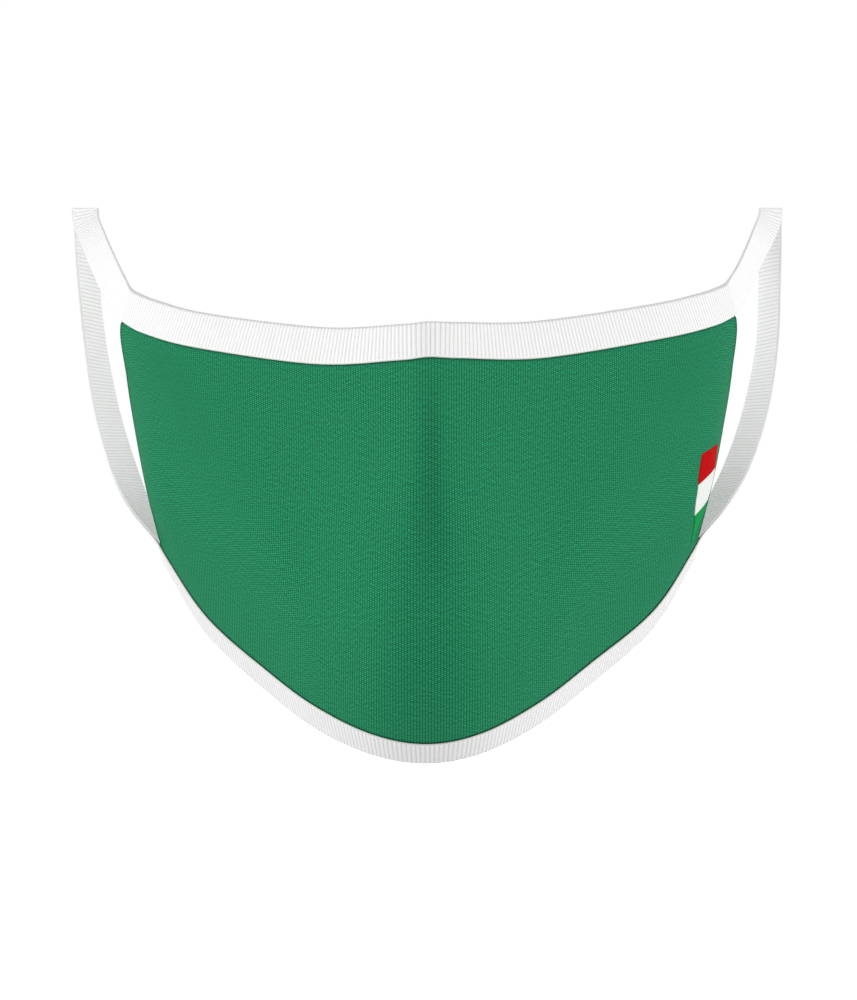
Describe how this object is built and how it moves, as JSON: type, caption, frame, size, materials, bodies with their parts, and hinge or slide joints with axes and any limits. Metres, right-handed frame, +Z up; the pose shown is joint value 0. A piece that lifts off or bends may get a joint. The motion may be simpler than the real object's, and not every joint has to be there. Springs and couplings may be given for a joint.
{
  "type": "cloth face mask",
  "caption": "Shaped cloth face mask with folded tape over its top and bottom borders that runs on as ear loops, and a small striped patch on one cheek.",
  "frame": {"origin": "the bridge of the wearer's nose, just behind the middle of the top binding's fold", "axes": "+X to the wearer's left, +Y back towards the wearer's face, +Z up"},
  "size_m": [0.2022, 0.1351, 0.1535],
  "materials": {
    "cloth": "fine green knit, matt",
    "tape": "white ribbed tape, matt",
    "patch_red": "red print on smooth cloth",
    "patch_white": "white print on smooth cloth",
    "patch_green": "light green print on smooth cloth"
  },
  "bodies": {
    "root": {"cloth_panel": "cloth", "top_binding": "tape", "bottom_binding": "tape", "left_ear_loop": "tape", "right_ear_loop": "tape", "patch_red_stripe": "patch_red", "patch_white_stripe": "patch_white", "patch_green_stripe": "patch_green"}
  },
  "joints": []
}
